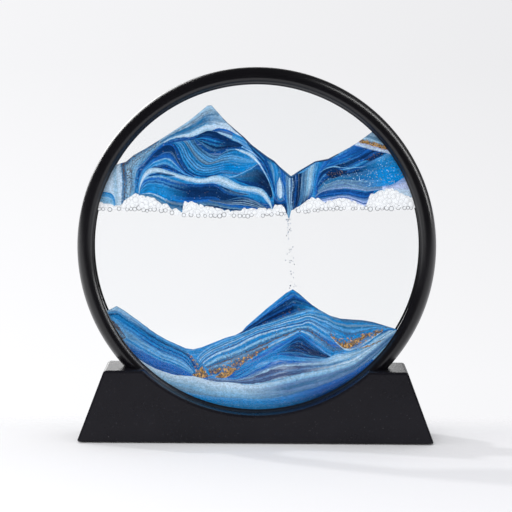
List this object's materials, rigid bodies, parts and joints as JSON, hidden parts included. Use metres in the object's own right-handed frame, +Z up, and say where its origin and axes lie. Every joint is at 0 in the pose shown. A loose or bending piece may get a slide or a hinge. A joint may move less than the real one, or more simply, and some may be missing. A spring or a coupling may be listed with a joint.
{
  "type": "moving sand art frame",
  "caption": "Round liquid-filled glass picture of blue sand and bubbles in a black ring that turns in a trapezoid saddle base, so the sand falls into new landscapes.",
  "frame": {"origin": "on the standing surface, under the middle of the base", "axes": "+Z up, the picture's front towards -Y, +X to the right seen from the front"},
  "size_m": [0.178, 0.034, 0.1854],
  "materials": {
    "base_plastic": "fine spark-eroded matte black",
    "cover_plastic": "plain matte black",
    "screw_steel": "zinc plated",
    "pad_rubber": "closed-cell foam",
    "ring_plastic": "satin black",
    "pane_glass": "clear polished",
    "seal_rubber": "matte black",
    "spacer_plastic": "matte black",
    "blue_sand": "layered blue and white grains",
    "pale_sand": "pale blue grains",
    "deep_sand": "deep blue grains",
    "gold_sand": "glittering gold grains",
    "bubble_film": "clear air bubbles",
    "clear_liquid": "clear liquid"
  },
  "bodies": {
    "base": {"base_shell": "base_plastic", "base_plate": "cover_plastic", "base_screw_1": "screw_steel", "base_screw_2": "screw_steel", "base_screw_3": "screw_steel", "base_screw_4": "screw_steel", "foot_pad_1": "pad_rubber", "foot_pad_2": "pad_rubber", "foot_pad_3": "pad_rubber", "foot_pad_4": "pad_rubber"},
    "ring": {"front_bezel": "ring_plastic", "rear_bezel": "ring_plastic", "front_glass": "pane_glass", "rear_glass": "pane_glass", "front_seal": "seal_rubber", "rear_seal": "seal_rubber", "spacer_ring": "spacer_plastic", "fill_plug": "seal_rubber", "upper_sand": "blue_sand", "upper_gold_sand": "gold_sand", "bubble_raft_left": "bubble_film", "bubble_raft_right": "bubble_film", "falling_sand": "pale_sand", "lower_sand": "blue_sand", "drift_sand": "pale_sand", "bed_sand": "deep_sand", "gold_sand_left": "gold_sand", "gold_sand_right": "gold_sand", "upper_liquid": "clear_liquid", "lower_liquid": "clear_liquid"}
  },
  "joints": [
    {"name": "ring_turn", "type": "hinge", "parent": "base", "child": "ring", "pos_m": [0, 0, 0.0964], "axis": [0, 1, 0], "continuous": true}
  ]
}
